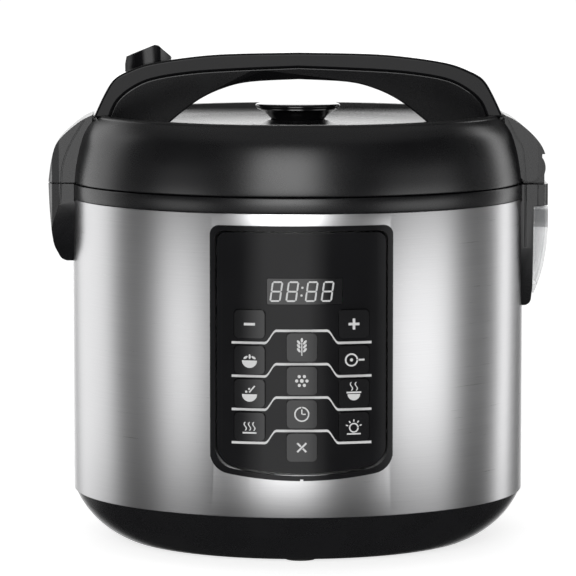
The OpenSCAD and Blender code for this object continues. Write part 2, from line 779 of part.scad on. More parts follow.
module handle_grip() {
    color("#101113") difference() {
        along_y(-handle_w / 2 + 2.4, handle_w / 2 - 2.4) polygon(concat(mirror_x(handle_crease),
            handle_crease, flip(handle_under), flip(mirror_x(handle_under))));
        lid_solid();
        button_pocket();
        handle_screw_places() cylinder(r = 1.5, h = 224, $fn = 24);
        translate([-80, -4, 200]) cube([6.2, 8, 40]);
    }
}

module handle_screws() {
    color("silver") handle_screw_places() translate([0, 0, 201.4]) {
        cylinder(r = 3.2, h = 1.6, $fn = 32);
        cylinder(r = 1.5, h = 22.6, $fn = 24);
    }
}

module release_button() {
    x = button_x;
    color("#1c1d1f") {
        along_y(-9, 9) polygon([[x - 11.6, button_low], [x - 11.6, 243.4], [x - 10.9, 247.2], [x + 3.4, 253],
            [x + 5.4, 252.6], [x + 11.6, 247.4], [x + 11.6, button_low]]);
        translate([-79.4, -3, 200.7]) cube([5, 6, button_low - 200]);
        translate([-100, -4, 200.7]) cube([25.6, 8, 2.2]);
    }
}

module button_spring() {
    color("silver") translate([-76.9, 0, pocket_z]) coil(5.2, 0.45, button_low - pocket_z, 3);
}

// ---------- Assembly ----------

base_housing();
foot_pads();
base_screws();
outer_shell();
rim_collar();
inner_liner();
inner_pot();
heating_plate();
heating_element();
sensor_holder();
sensor_cap();
sensor_spring();
keep_warm_band();
thermal_fuse();
power_board();
power_board_parts();
power_inlet();
inlet_pins();
panel_bezel();
panel_fascia();
display_window();
led_display();
panel_lines();
control_board();
key_switches();
panel_housing();
board_screws();
key_minus();
key_plus();
key_white_rice();
key_brown_rice();
key_saute();
key_oatmeal();
key_quinoa();
key_soup();
key_steam();
key_delay();
key_warm();
key_cancel();
latch_column();
latch_strike();
hinge_column();
hinge_pin();
hinge_spring();
condensation_cup();
lid_shell();
lid_liner();
inner_lid_plate();
lid_gasket();
handle_top();
handle_grip();
handle_screws();
latch_cover();
hinge_cover();
release_button();
button_spring();
latch_hook();
latch_pin();
vent_cap();
vent_seat();
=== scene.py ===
"""Builds the visible pieces of a steel-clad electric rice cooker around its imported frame.

Every piece is modelled in metres, in the frame's own place, and rides on the body it belongs to.
"""

import json
import math

import bpy
from bpy.props import FloatProperty, FloatVectorProperty, IntProperty, PointerProperty
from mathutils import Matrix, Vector

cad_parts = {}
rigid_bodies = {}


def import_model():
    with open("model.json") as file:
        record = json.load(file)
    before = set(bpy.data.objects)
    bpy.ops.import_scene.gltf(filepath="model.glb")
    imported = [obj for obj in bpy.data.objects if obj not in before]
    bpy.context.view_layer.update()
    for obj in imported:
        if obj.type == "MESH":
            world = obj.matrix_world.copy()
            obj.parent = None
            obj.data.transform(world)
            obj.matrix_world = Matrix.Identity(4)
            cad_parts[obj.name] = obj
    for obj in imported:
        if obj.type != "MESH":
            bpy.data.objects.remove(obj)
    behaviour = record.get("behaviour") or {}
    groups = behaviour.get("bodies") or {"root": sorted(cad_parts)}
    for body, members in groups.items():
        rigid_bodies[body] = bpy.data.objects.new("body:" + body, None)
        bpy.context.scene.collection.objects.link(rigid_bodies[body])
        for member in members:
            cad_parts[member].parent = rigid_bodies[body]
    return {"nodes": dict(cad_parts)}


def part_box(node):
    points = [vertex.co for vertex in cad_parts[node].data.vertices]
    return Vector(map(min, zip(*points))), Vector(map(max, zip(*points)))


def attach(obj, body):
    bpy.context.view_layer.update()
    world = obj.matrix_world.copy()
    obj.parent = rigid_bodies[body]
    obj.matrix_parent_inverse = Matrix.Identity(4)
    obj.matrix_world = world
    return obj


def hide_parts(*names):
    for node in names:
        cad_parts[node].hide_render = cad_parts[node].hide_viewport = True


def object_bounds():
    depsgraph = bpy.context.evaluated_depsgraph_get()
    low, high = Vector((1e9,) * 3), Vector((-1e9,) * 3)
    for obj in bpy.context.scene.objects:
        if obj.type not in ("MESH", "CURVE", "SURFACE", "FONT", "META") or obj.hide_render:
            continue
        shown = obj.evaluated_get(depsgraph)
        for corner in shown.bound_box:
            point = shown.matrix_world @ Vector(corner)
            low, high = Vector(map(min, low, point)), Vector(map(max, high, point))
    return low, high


bl_info = {
    "name": "Rice Cooker",
    "version": (1, 0, 0),
    "blender": (4, 5, 0),
    "location": "View3D > Sidebar > Rice Cooker",
    "description": "Models the pieces and finishes of a steel-clad rice cooker",
    "category": "Object",
}

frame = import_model()
CAD_LOW, CAD_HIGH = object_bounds()

MM = 0.001
FULL_TURN = 2 * math.pi
WELD = 1e-6
NODE_WELD = 2e-6
SAME_POINT = 1e-5
FINE_STEPS = 256
ROUND_STEPS = 192
COARSE_STEPS = 96


def low(node):
    """The lowest corner of a frame node's box."""
    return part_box(node)[0]


def high(node):
    """The highest corner of a frame node's box."""
    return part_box(node)[1]


# Fine sizes of the finished surface, in millimetres.
SEAT_RISE = 2.4
BUTTON_REACH = 11.6
SLEEVE_WALL = 0.8
STEM_SLOT = (-80, -73.8)
STEM_HALF_W = 4
STEAM_HOLE_R = 1.3
STEAM_HOLE_PITCH = 5.7
GRIP_INSET = 1.2
GRIP_FOOT_SHARE = 0.84
PRINT_SINK = 0.02


BODY_R = high("outer_shell").x
BASE_TOP = low("outer_shell").z
SLEEVE_TOP = high("outer_shell").z
COLLAR_R = high("rim_collar").x
COLLAR_TOP = high("rim_collar").z
LID_BOTTOM = low("lid_shell").z
SHOULDER = high("lid_shell").z
DISH = high("vent_seat").z - SEAT_RISE * MM
VENT_R = high("vent_cap").x
VENT_TOP = high("vent_cap").z
HANDLE_TOP = high("handle_top").z
HANDLE_HALF_W = high("handle_top").y
BRACKET_OUT = high("condensation_cup").x
HINGE_AXIS = (low("hinge_pin") + high("hinge_pin")) / 2
KEY_FACE_R = -low("key_quinoa").y
FASCIA_R = BODY_R + 0.4 * MM
BUTTON_X = high("release_button").x - BUTTON_REACH * MM


# ---------------------------------------------------------------- modelling


def points_mm(*pairs):
    """Outline points given in millimetres, as pairs in metres."""
    return [(a * MM, b * MM) for a, b in pairs]


def smooth_line(points, steps=4):
    """A smooth curve through every given point."""
    line = []
    for i in range(len(points) - 1):
        a, b, c, d = (Vector(points[min(max(j, 0), len(points) - 1)]) for j in range(i - 1, i + 3))
        for k in range(steps):
            t = k / steps
            line.append(0.5 * (2 * b + (c - a) * t + (2 * a - 5 * b + 4 * c - d) * t * t
                               + (3 * b - a - 3 * c + d) * t ** 3))
    return line + [Vector(points[-1])]


def arc(centre, radius, start, stop, steps=8):
    """Points on an arc, angles in degrees."""
    angles = [math.radians(start + (stop - start) * i / steps) for i in range(steps + 1)]
    return [Vector((centre[0] + radius * math.cos(a), centre[1] + radius * math.sin(a))) for a in angles]


def mirrored(line):
    """A right-hand line carried on from its mirror image on the left, without doubling the middle."""
    left = [Vector((-p[0], p[1])) for p in reversed(line)]
    return left[:-1] + [Vector(p) for p in line]


def side_view(point, y=0.0):
    """A (sideways, up) point set upright at a depth."""
    return Vector((point[0], y, point[1]))


def deselect():
    """Leaves edit mode and selects nothing."""
    if bpy.context.mode != "OBJECT":
        bpy.ops.object.mode_set(mode="OBJECT")
    bpy.ops.object.select_all(action="DESELECT")


def activate(piece):
    """Makes this the only selected object."""
    deselect()
    piece.select_set(True)
    bpy.context.view_layer.objects.active = piece


def start_piece(name, point):
    """A new mesh of one selected vertex, open in edit mode."""
    deselect()
    bpy.ops.mesh.primitive_plane_add(size=MM, location=(0, 0, 0))
    piece = bpy.context.active_object
    piece.name = piece.data.name = name
    bpy.ops.object.mode_set(mode="EDIT")
    bpy.ops.mesh.select_mode(type="VERT")
    bpy.ops.mesh.select_all(action="SELECT")
    bpy.ops.mesh.merge(type="CENTER")
    bpy.ops.transform.translate(value=point)
    return piece


def draw_line(points):
    """Extrudes the selected vertex from each point to the next."""
    for a, b in zip(points, points[1:]):
        bpy.ops.mesh.extrude_vertices_move(TRANSFORM_OT_translate={"value": b - a})


def tidy_mesh():
    """Welds doubles and turns every face outwards, in edit mode."""
    bpy.ops.mesh.select_all(action="SELECT")
    bpy.ops.mesh.remove_doubles(threshold=WELD)
    bpy.ops.mesh.normals_make_consistent(inside=False)


def close_piece(piece, angle=40):
    """Leaves edit mode and smooths all edges flatter than the angle."""
    activate(piece)
    bpy.ops.object.shade_smooth_by_angle(angle=math.radians(angle))
    return piece


def lathe(name, profile, steps=128, closed=True):
    """Spins a profile of (radius, height) points round the vertical axis."""
    line = [side_view(p) for p in profile]
    piece = start_piece(name, line[0])
    draw_line(line + line[:1] if closed else line)
    bpy.ops.mesh.select_all(action="SELECT")
    bpy.ops.mesh.spin(steps=steps, angle=FULL_TURN, center=(0, 0, 0), axis=(0, 0, 1))
    tidy_mesh()
    return close_piece(piece)


def slab(name, outline, start_y, stop_y):
    """Fills an outline seen from the front and extrudes it from one depth to the other."""
    line = [side_view(p, start_y) for p in outline]
    piece = start_piece(name, line[0])
    draw_line(line)
    bpy.ops.mesh.select_all(action="SELECT")
    bpy.ops.mesh.edge_face_add()
    bpy.ops.mesh.extrude_region_move(TRANSFORM_OT_translate={"value": (0, stop_y - start_y, 0)})
    tidy_mesh()
    return close_piece(piece)


def apply_modifier(piece, kind, **settings):
    """Adds a modifier with these settings and applies it."""
    activate(piece)
    modifier = piece.modifiers.new(kind.title(), kind)
    for key, value in settings.items():
        setattr(modifier, key, value)
    bpy.ops.object.modifier_apply(modifier=modifier.name)
    return piece


def soften(piece, width, segments=3, angle=30):
    """Rounds every edge sharper than the angle."""
    apply_modifier(piece, "BEVEL", width=width, segments=segments, limit_method="ANGLE",
                   angle_limit=math.radians(angle), use_clamp_overlap=True)
    return close_piece(piece)


def carve(piece, cutter, operation="DIFFERENCE"):
    """Cuts the piece with another object, which is used up."""
    apply_modifier(piece, "BOOLEAN", operation=operation, object=cutter, solver="EXACT")
    bpy.data.objects.remove(cutter, do_unlink=True)
    return piece


def copy_of(node, name, width=0.0, segments=2):
    """A welded copy of a frame node with its edges rounded, which then stands for that node."""
    source = frame["nodes"][node]
    piece = source.copy()
    piece.data = source.data.copy()
    piece.name = piece.data.name = name
    piece.parent = None
    for key in [k for k in piece.keys() if k.startswith("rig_")]:
        del piece[key]
    bpy.context.scene.collection.objects.link(piece)
    activate(piece)
    bpy.ops.object.mode_set(mode="EDIT")
    bpy.ops.mesh.select_all(action="SELECT")
    bpy.ops.mesh.customdata_custom_splitnormals_clear()
    bpy.ops.mesh.remove_doubles(threshold=NODE_WELD)
    bpy.ops.mesh.dissolve_limited(angle_limit=math.radians(0.4))
    close_piece(piece, 30)
    if width:
        soften(piece, width, segments)
    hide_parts(node)
    return piece


def dress(piece, body, material):
    """Gives a finished piece its material and the body it rides on."""
    piece.data.materials.clear()
    piece.data.materials.append(material)
    for face in piece.data.polygons:
        face.material_index = 0
    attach(piece, body)
    return piece


# ---------------------------------------------------------------- shader maths


class Value:
    """One output socket of a shader tree, with arithmetic that adds Math nodes."""

    def __init__(self, tree, socket):
        self.tree, self.socket = tree, socket

    def _math(self, operation, *operands):
        node = self.tree.nodes.new("ShaderNodeMath")
        node.operation = operation
        for slot_in, operand in zip(node.inputs, operands):
            if isinstance(operand, Value):
                self.tree.links.new(operand.socket, slot_in)
            else:
                slot_in.default_value = operand
        return Value(self.tree, node.outputs[0])

    def __add__(self, other):
        return self._math("ADD", self, other)

    __radd__ = __add__

    def __sub__(self, other):
        return self._math("SUBTRACT", self, other)

    def __rsub__(self, other):
        return self._math("SUBTRACT", other, self)

    def __mul__(self, other):
        return self._math("MULTIPLY", self, other)

    __rmul__ = __mul__

    def __pow__(self, other):
        return self._math("POWER", self, other)

    def __gt__(self, other):
        return self._math("GREATER_THAN", self, other)

    def __lt__(self, other):
        return self._math("LESS_THAN", self, other)

    def minimum(self, other):
        return self._math("MINIMUM", self, other)

    def maximum(self, other):
        return self._math("MAXIMUM", self, other)

    def absolute(self):
        return self._math("ABSOLUTE", self)

    def sine(self):
        return self._math("SINE", self)

    def angle_to(self, other):
        return self._math("ARCTAN2", self, other)

    def clamped(self):
        return self.maximum(0.0).minimum(1.0)


class Finish:
    """A material under construction: one Principled shader and the nodes that feed it."""

    def __init__(self, name, **constants):
        self.material = bpy.data.materials.new(name)
        self.material.use_nodes = True
        self.tree = self.material.node_tree
        self.shader = self.tree.nodes["Principled BSDF"]
        for key, value in constants.items():
            self.shader.inputs[key.replace("_", " ").title().replace("Ior", "IOR")].default_value = value

    def node(self, kind, output=0, settings=None, **inputs):
        """Adds a node, sets its settings first, then its inputs, and returns one output."""
        node = self.tree.nodes.new("ShaderNode" + kind)
        for key, value in (settings or {}).items():
            setattr(node, key, value)
        sockets = {socket.identifier: socket for socket in node.inputs}
        for key, value in inputs.items():
            if isinstance(value, Value):
                self.tree.links.new(value.socket, sockets[key])
            else:
                sockets[key].default_value = value
        return Value(self.tree, node.outputs[output])

    def place(self):
        """The surface point in metres, as a vector and its three parts."""
        point = self.node("TexCoord", "Object")
        parts = self.tree.nodes.new("ShaderNodeSeparateXYZ")
        self.tree.links.new(point.socket, parts.inputs[0])
        return (point, *(Value(self.tree, out) for out in parts.outputs))

    def vector(self, x, y, z):
        """Joins three values into a vector."""
        return self.node("CombineXYZ", X=x, Y=y, Z=z)

    def noise(self, vector, scale, detail=2.0, roughness=0.5):
        """A cloudy value from 0 to 1 that varies with the vector."""
        return self.node("TexNoise", Vector=vector, Scale=scale, Detail=detail, Roughness=roughness)

    def blend(self, factor, first, second):
        """Mixes two colours by a value."""
        first, second = (c if isinstance(c, Value) else (*c, 1.0) for c in (first, second))
        mixed_colour = 2
        return self.node("Mix", mixed_colour, {"data_type": "RGBA"},
                         Factor_Float=factor, A_Color=first, B_Color=second)

    def feed(self, socket, value):
        """Joins a value to an input of the Principled shader."""
        self.tree.links.new(value.socket, self.shader.inputs[socket])

    def bump(self, height, distance):
        """Raises the surface by a height from 0 to 1, times a distance in metres."""
        self.feed("Normal", self.node("Bump", Height=height, Distance=distance, Strength=1.0))


# ---------------------------------------------------------------- finishes


def black_plastic(name, roughness, grain=0.35, sheen=0.5):
    """Moulded black plastic: a faint spark-eroded grain and slightly uneven gloss."""
    f = Finish(name, specular_ior_level=sheen, roughness=roughness)
    point, *_ = f.place()
    cloud = f.noise(point, 38.0, 3.0)
    grain_height = f.noise(point, 2600.0, 1.0)
    f.feed("Base Color", f.blend(cloud, (0.005, 0.005, 0.0055), (0.009, 0.009, 0.010)))
    f.feed("Roughness", cloud * 0.08 + grain_height * 0.05 + (roughness - 0.06))
    f.bump(grain_height, grain * 0.02 * MM)
    return f.material


def brushed_sleeve():
    """Stainless sheet brushed round the body: long thin streaks in tone, gloss and height."""
    f = Finish("brushed_sleeve", metallic=1.0)
    point, x, y, z = f.place()
    around = y.angle_to(x)
    long_streak = f.noise(f.vector(around * 2.2, 0.0, z * 2400.0), 1.0, 3.0)
    short_streak = f.noise(f.vector(around * 9.0, 3.0, z * 7000.0), 1.0, 2.0)
    cloud = f.noise(point, 14.0, 2.0)
    tone = (long_streak * 0.5 + short_streak * 0.3 + cloud * 0.2).clamped()
    f.feed("Base Color", f.blend(tone, (0.50, 0.50, 0.51), (0.70, 0.70, 0.705)))
    f.feed("Roughness", long_streak * 0.10 + short_streak * 0.06 + 0.22)
    f.bump(long_streak * 0.6 + short_streak, 0.008 * MM)
    return f.material


def spun_aluminium(name, colour=0.66, roughness=0.34):
    """Aluminium turned on a lathe: fine rings round the axis."""
    f = Finish(name, metallic=1.0)
    point, x, y, z = f.place()
    radius = (x * x + y * y) ** 0.5
    ring = f.noise(f.vector(radius * 3200.0, z * 3200.0, 0.0), 1.0, 2.0)
    cloud = f.noise(point, 30.0, 2.0)
    f.feed("Base Color", f.blend(ring * 0.6 + cloud * 0.4, (colour - 0.12,) * 3, (colour + 0.06,) * 3))
    f.feed("Roughness", ring * 0.12 + cloud * 0.06 + (roughness - 0.08))
    f.bump(ring, 0.01 * MM)
    return f.material


def plated_steel():
    """Zinc-plated pressed steel with a faint mottle."""
    f = Finish("plated_steel", metallic=1.0)
    point, *_ = f.place()
    mottle = f.noise(point, 420.0, 3.0)
    f.feed("Base Color", f.blend(mottle, (0.46, 0.47, 0.49), (0.66, 0.66, 0.66)))
    f.feed("Roughness", mottle * 0.16 + 0.26)
    f.bump(mottle, 0.01 * MM)
    return f.material


def nonstick():
    """Dark non-stick coating with pale mineral specks."""
    f = Finish("nonstick_coat", metallic=0.0, specular_ior_level=0.45)
    point, *_ = f.place()
    speck = f.noise(point, 1500.0, 1.0) > 0.69
    orange_peel = f.noise(point, 700.0, 2.0)
    f.feed("Base Color", f.blend(speck, (0.030, 0.031, 0.034), (0.16, 0.16, 0.17)))
    f.feed("Roughness", orange_peel * 0.16 + 0.30)
    f.bump(orange_peel, 0.02 * MM)
    return f.material


def rubbery(name, dark, pale, roughness):
    """Soft moulded rubber: dusty tone over a fine matt grain."""
    f = Finish(name, specular_ior_level=0.3)
    point, *_ = f.place()
    dust = f.noise(point, 160.0, 4.0)
    f.feed("Base Color", f.blend(dust, dark, pale))
    f.feed("Roughness", dust * 0.15 + roughness)
    f.bump(f.noise(point, 2400.0, 1.0), 0.02 * MM)
    return f.material


def clear_cup():
    """Clear moulded styrene with faint flow marks and one frosted band."""
    f = Finish("clear_styrene", specular_ior_level=0.6, ior=1.5)
    point, _, _, z = f.place()
    flow = f.noise(point, 60.0, 3.0)
    band_low, band_high = 0.1605, 0.1695
    frosted = (z > band_low) * (z < band_high)
    clear = f.blend(flow, (0.42, 0.43, 0.44), (0.60, 0.61, 0.62))
    f.feed("Base Color", f.blend(frosted, clear, (0.14, 0.145, 0.15)))
    f.feed("Alpha", frosted * 0.30 + flow * 0.10 + 0.30)
    f.feed("Roughness", flow * 0.06 + 0.05)
    f.bump(flow, 0.05 * MM)
    return f.material


def print_ink(name, tone, glow=0.0):
    """Screen-printed light ink with a slightly broken surface."""
    f = Finish(name, specular_ior_level=0.4)
    point, *_ = f.place()
    grain = f.noise(point, 3000.0, 2.0)
    f.feed("Base Color", f.blend(grain, (tone * 0.9,) * 3, (tone,) * 3))
    f.feed("Roughness", grain * 0.2 + 0.35)
    if glow:
        f.shader.inputs["Emission Strength"].default_value = glow
        f.feed("Emission Color", f.blend(grain, (0.82, 0.85, 0.84), (0.95, 0.97, 0.96)))
    return f.material


def circuit_board():
    """Green solder mask over faint copper tracks."""
    f = Finish("circuit_board", specular_ior_level=0.5)
    point, x, y, z = f.place()
    track = ((x * 900.0).sine() * (z * 620.0 + y * 620.0).sine()) > 0.55
    mask_cloud = f.noise(point, 90.0, 2.0)
    board = f.blend(mask_cloud, (0.012, 0.10, 0.035), (0.02, 0.14, 0.05))
    f.feed("Base Color", f.blend(track, board, (0.04, 0.22, 0.09)))
    f.feed("Roughness", mask_cloud * 0.1 + 0.28)
    f.bump(track, 0.03 * MM)
    return f.material


def moulded(name, dark, pale, roughness=0.45, metal=0.0):
    """A plain moulded or cast part with mottled tone and a soft grain."""
    f = Finish(name, metallic=metal)
    point, *_ = f.place()
    mottle = f.noise(point, 220.0, 3.0)
    f.feed("Base Color", f.blend(mottle, dark, pale))
    f.feed("Roughness", mottle * 0.12 + roughness - 0.06)
    f.bump(f.noise(point, 1800.0, 1.0), 0.01 * MM)
    return f.material


# ---------------------------------------------------------------- outlines, in millimetres


def lid_outer():
    """The lid's outside from its lower edge over the shoulder ring and down into the dish."""
    top = SHOULDER / MM
    dish = DISH / MM
    bottom = LID_BOTTOM / MM
    flank = smooth_line([(114.7, bottom), (115.2, bottom + 0.6), (114.6, 190), (112.8, 200),
                         (110.2, 208.4), (107, 213.6), (104.2, top - 1.2)], 5)
    shoulder = arc((102.2, top - 2), 2, 20, 100, 6)
    inside = smooth_line([(98, top - 0.1), (92, top - 2.6), (80, dish + 0.8), (56, dish)], 5)
    return [p * MM for p in flank + shoulder + inside]


def lid_block(name):
    """The whole volume under the lid's outer face, for cutting the pieces that sit on it."""
    outline = [Vector((0, LID_BOTTOM))] + lid_outer() + [Vector((0, DISH))]
    return lathe(name, outline, steps=128)


def handle_lines():
    """Upper line, crease and underside of the handle's right half."""
    top = HANDLE_TOP / MM
    foot = SHOULDER / MM - 1.0
    outer = smooth_line([(0, top), (35, top - 0.7), (55, top - 2.3), (75, top - 5.4), (86, top - 9.2),
                         (93.4, top - 13.6), (98.2, top - 21), (103.8, foot)], 5)
    crease = smooth_line([(0, top - 7.6), (30, top - 8.8), (54, top - 10.4), (73.8, top - 13.6),
                          (84.8, top - 18.6), (92, top - 25), (95.6, foot)], 5)
    under = smooth_line([(0, top - 13.7), (24.3, top - 15), (38, top - 18.2), (51, top - 24.4),
                         (64.5, DISH / MM + 2.6), (69, DISH / MM - 2)], 5)
    return [[p * MM for p in line] for line in (outer, crease, under)]


def disc(x, z, r, points=14):
    """A full circle."""
    return arc((x, z), r, 0, 360 - 360 / points, points - 1)


def seed(x, z, a, b, turn, points=12):
    """A pointed oval grain of half length a and half width b."""
    c, s = math.cos(math.radians(turn)), math.sin(math.radians(turn))
    oval = [(a * math.cos(t), b * math.sin(t)) for t in (FULL_TURN * i / points for i in range(points))]
    return [Vector((x + u * c - v * s, z + u * s + v * c)) for u, v in oval]


def bar(x0, z0, x1, z1, width):
    """A straight stroke with square ends."""
    along = Vector((x1 - x0, z1 - z0)).normalized()
    side = Vector((-along.y, along.x)) * width / 2
    a, b = Vector((x0, z0)), Vector((x1, z1))
    return [a + side, a - side, b - side, b + side]


def band(x, z, r, width, start, stop, steps=14):
    """Part of a ring."""
    inner = arc((x, z), r - width / 2, start, stop, steps)
    return arc((x, z), r + width / 2, start, stop, steps) + inner[::-1]


def bowl(x, z, r):
    """The lower half of a disc."""
    return arc((x, z), r, 180, 360, 14)


def wave(x, z, width):
    """A rising wisp of steam."""
    left = [Vector((x + 0.55 * math.sin(FULL_TURN * t), z + 4.2 * t)) for t in (i / 10 for i in range(11))]
    return left + [p + Vector((width, 0)) for p in reversed(left)]


KEY_SIGNS = {
    "key_minus": [bar(-2.7, 0, 2.7, 0, 1.3)],
    "key_plus": [bar(-2.7, 0, 2.7, 0, 1.3), bar(0, 0.66, 0, 2.7, 1.3), bar(0, -2.7, 0, -0.66, 1.3)],
    "key_white_rice": [bowl(0, -0.2, 3.7), seed(-1.9, 1.2, 1.2, 0.55, 35), seed(0.1, 1.7, 1.2, 0.55, 90),
                       seed(2.0, 1.2, 1.2, 0.55, 145)],
    "key_brown_rice": [bar(0, -4, 0, 2.2, 0.55), seed(0, 3.6, 1.2, 0.6, 90)]
    + [seed(s * 1.5, z, 1.3, 0.6, 90 - s * 38) for s in (-1, 1) for z in (-1.3, 0.6, 2.5)],
    "key_saute": [band(-1.2, 0, 2.9, 0.8, 4, 356), bar(2.3, 0, 5.2, 0, 0.9), disc(-1.2, 0, 0.8)],
    "key_oatmeal": [bowl(0, -0.4, 3.7), bar(-0.2, 0.5, 2.6, 3.7, 0.7), disc(-1.6, 0.8, 0.6),
                    disc(-0.2, 2.2, 0.55)],
    "key_quinoa": [disc(0, 0, 0.95)] + [disc(2.5 * math.cos(t), 2.5 * math.sin(t), 0.8)
                                        for t in (FULL_TURN * i / 6 for i in range(6))],
    "key_soup": [bar(-3.6, 0.4, 3.6, 0.4, 0.8), arc((0, -0.4), 3.1, 180, 360, 14),
                 wave(-1.5, 1.3, 0.55), wave(0.9, 1.3, 0.55)],
    "key_steam": [bar(-3.4, -3, 3.4, -3, 0.8)] + [wave(x, -1.9, 0.6) for x in (-2.4, -0.3, 1.8)],
    "key_delay": [band(0, 0, 3.4, 0.7, 94, 446), bar(0, 0, 0, 2.4, 0.6), bar(0.32, 0, 1.9, 0, 0.6)],
    "key_warm": [band(0, -0.6, 2.1, 0.7, 4, 356), bar(-3.4, -3.6, 3.4, -3.6, 0.7)]
    + [bar(3.0 * math.cos(t), 3.0 * math.sin(t) - 0.6, 4.1 * math.cos(t), 4.1 * math.sin(t) - 0.6, 0.6)
       for t in (math.radians(a) for a in (20, 55, 90, 125, 160))],
    "key_cancel": [bar(-2.2, -2.2, 2.2, 2.2, 0.9), bar(-2.2, 2.2, -0.5, 0.5, 0.9),
                   bar(0.5, -0.5, 2.2, -2.2, 0.9)],
}


def raised_print(name, outlines, centre, face_r, thick):
    """Flat shapes wrapped onto the body's curve as a thin raised layer."""
    start_y, push = -face_r - 2 * MM, 16 * MM
    piece = None
    for outline in outlines:
        line = [side_view((centre[0] + p[0] * MM, centre[1] + p[1] * MM), start_y) for p in outline]
        if piece is None:
            piece = start_piece(name, line[0])
        else:
            bpy.ops.mesh.select_all(action="DESELECT")
            bpy.ops.mesh.primitive_plane_add(size=MM, location=(0, 0, 0))
            bpy.ops.mesh.merge(type="CENTER")
            bpy.ops.transform.translate(value=line[0])
        draw_line(line)
        bpy.ops.mesh.select_linked()
        bpy.ops.mesh.edge_face_add()
        bpy.ops.mesh.extrude_region_move(TRANSFORM_OT_translate={"value": (0, push, 0)})
    bpy.ops.mesh.select_all(action="SELECT")
    bpy.ops.mesh.normals_make_consistent(inside=False)
    close_piece(piece)
    inner, outer = face_r - PRINT_SINK * MM, face_r + thick
    layer = [(inner, CAD_LOW.z), (outer, CAD_LOW.z), (outer, CAD_HIGH.z), (inner, CAD_HIGH.z)]
    return close_piece(carve(piece, lathe("layer", layer, FINE_STEPS), "INTERSECT"))


# ---------------------------------------------------------------- more modelling helpers


def block(name, x0, x1, z0, z1, half_y):
    """A box across the middle plane, in millimetres."""
    return slab(name, points_mm((x0, z0), (x1, z0), (x1, z1), (x0, z1)), -half_y * MM, half_y * MM)


def upright_rod(name, x, y, z0, z1, radius, steps=32):
    """A vertical round bar, in millimetres."""
    deselect()
    bpy.ops.mesh.primitive_cylinder_add(vertices=steps, radius=radius * MM, depth=(z1 - z0) * MM,
                                        location=(x * MM, y * MM, (z0 + z1) / 2 * MM))
    rod = bpy.context.active_object
    rod.name = rod.data.name = name
    bpy.ops.object.transform_apply(location=True, rotation=True, scale=True)
    return rod


def narrow(piece, share, test):
    """Draws the points that pass the test in towards the middle plane."""
    activate(piece)
    bpy.ops.object.mode_set(mode="EDIT")
    bpy.ops.mesh.select_mode(type="VERT")
    bpy.ops.mesh.select_all(action="DESELECT")
    bpy.ops.object.mode_set(mode="OBJECT")
    for vertex in piece.data.vertices:
        vertex.select = test(vertex.co)
    bpy.ops.object.mode_set(mode="EDIT")
    bpy.ops.transform.resize(value=(1, share, 1), center_override=(0, 0, 0))
    return close_piece(piece)


def middle(node):
    """The middle of a frame node's box."""
    return (low(node) + high(node)) / 2


def sizes():
    """The scene's size settings."""
    return bpy.context.scene.rice_cooker_sizes


def looks():
    """The scene's finish and light settings."""
    return bpy.context.scene.rice_cooker_looks


FINISHES = {}


def finish(name, maker, *values):
    """Makes each material once and hands out the same one after that."""
    if name not in FINISHES:
        FINISHES[name] = maker(*values)
    return FINISHES[name]


def satin():
    """The plastic of the lid, the collar and the base."""
    return finish("satin", black_plastic, "satin_black", looks().satin_roughness)


def gloss():
    """The plastic of the vent cap and the keys."""
    return finish("gloss", black_plastic, "gloss_black", looks().gloss_roughness, 0.12, 0.5)


def deep_gloss():
    """The darker, quieter gloss of the key panel and the handle's face."""
    return finish("deep_gloss", black_plastic, "deep_gloss_black", looks().gloss_roughness, 0.12, 0.2)


def keep_node(node, material):
    """Gives a carried-over frame node its finish."""
    mesh = frame["nodes"][node].data
    if not mesh.materials:
        mesh.materials.append(material)
    for i in range(len(mesh.materials)):
        mesh.materials[i] = material


# ---------------------------------------------------------------- user settings


class CookerSizes(bpy.types.PropertyGroup):
    """Sizes of the fine detail that the frame leaves to the finished surface."""

    round_edge: FloatProperty(name="Edge rounding", description="Rounding of the plastic covers' edges",
                              default=0.7 * MM, min=0.1 * MM, max=1.5 * MM, unit="LENGTH")
    key_edge: FloatProperty(name="Key rounding", description="Rounding of the key caps' rims",
                            default=0.6 * MM, min=0.1 * MM, max=0.8 * MM, unit="LENGTH")
    handle_edge: FloatProperty(name="Handle rounding", description="Rounding of the handle's long edges",
                               default=1.8 * MM, min=0.5 * MM, max=3 * MM, unit="LENGTH")
    print_height: FloatProperty(name="Print height", description="Thickness of the printed signs",
                                default=0.05 * MM, min=0.02 * MM, max=0.2 * MM, unit="LENGTH")
    digit_height: FloatProperty(name="Digit height", description="Height of one display digit",
                                default=10.1 * MM, min=8 * MM, max=12 * MM, unit="LENGTH")
    sleeve_steps: IntProperty(name="Sleeve steps", description="Facets round the steel sleeve",
                              default=256, min=96, max=512)


class CookerLooks(bpy.types.PropertyGroup):
    """Finishes and light."""

    satin_roughness: FloatProperty(name="Satin roughness", description="Roughness of the satin plastic",
                                   default=0.27, min=0.1, max=0.8, subtype="FACTOR")
    gloss_roughness: FloatProperty(name="Gloss roughness", description="Roughness of the glossy plastic",
                                   default=0.13, min=0.02, max=0.5, subtype="FACTOR")
    display_ink: FloatProperty(name="Digit tone", description="Brightness of the lit digits",
                               default=0.46, min=0.1, max=1.0, subtype="FACTOR")
    floor_colour: FloatVectorProperty(name="Floor", description="Colour of the stage floor", size=3,
                                      default=(0.9, 0.9, 0.9), min=0.0, max=1.0, subtype="COLOR")


# ---------------------------------------------------------------- the body


